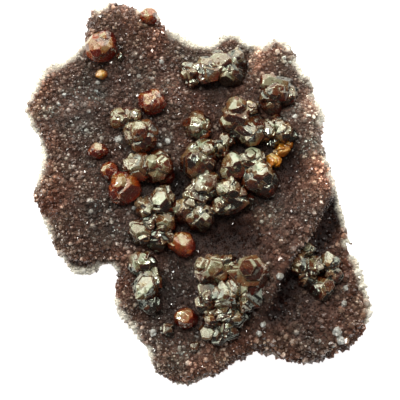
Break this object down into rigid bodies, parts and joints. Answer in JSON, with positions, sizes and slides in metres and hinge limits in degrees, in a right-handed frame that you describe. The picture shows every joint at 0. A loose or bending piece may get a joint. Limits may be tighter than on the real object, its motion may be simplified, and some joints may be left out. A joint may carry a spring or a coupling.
{
  "type": "sphalerite and quartz mineral specimen",
  "caption": "Cabinet mineral specimen lying on its flat broken back: a slab of matrix with a druse of small quartz points, carrying clusters of amber to grey-brown sphalerite crystals.",
  "frame": {"origin": "middle of the specimen's box, on the surface that it lies on", "axes": "+Y along the slab, towards the lobe with the large red-brown crystal; +X across the slab, towards the thick fold; +Z out of the druse, away from the surface that the specimen lies on"},
  "size_m": [0.104, 0.1138, 0.0197],
  "materials": {
    "quartz_crust": "sparkling druse of small quartz points, reddish-brown to grey, on rough matrix",
    "amber_sphalerite": "translucent amber to deep red, bright resinous lustre",
    "honey_sphalerite": "translucent honey yellow, resinous lustre",
    "grey_brown_sphalerite": "translucent olive to grey-brown with red depths, adamantine lustre with silvery faces"
  },
  "bodies": {
    "root": {"quartz_crusted_matrix": "quartz_crust", "sphalerite_top_left": "amber_sphalerite", "sphalerite_top_bead": "amber_sphalerite", "sphalerite_yellow_bead": "honey_sphalerite", "sphalerite_grey_bead": "grey_brown_sphalerite", "sphalerite_red_bead": "amber_sphalerite", "sphalerite_left_pair": "grey_brown_sphalerite", "sphalerite_round_bead": "amber_sphalerite", "sphalerite_left_group": "grey_brown_sphalerite", "sphalerite_column": "grey_brown_sphalerite", "sphalerite_amber_bead": "amber_sphalerite", "sphalerite_lower_left": "grey_brown_sphalerite", "sphalerite_garnet_bead": "amber_sphalerite", "sphalerite_tan_bead": "grey_brown_sphalerite", "sphalerite_foot_bead": "grey_brown_sphalerite", "sphalerite_great_cluster": "grey_brown_sphalerite", "sphalerite_lower_right": "grey_brown_sphalerite", "sphalerite_top_middle": "grey_brown_sphalerite", "sphalerite_upper_right": "grey_brown_sphalerite", "sphalerite_flashing_pair": "grey_brown_sphalerite", "sphalerite_centre_upper": "grey_brown_sphalerite", "sphalerite_centre_lower": "grey_brown_sphalerite", "sphalerite_centre_right": "grey_brown_sphalerite", "sphalerite_pale_cluster": "grey_brown_sphalerite"}
  },
  "joints": []
}
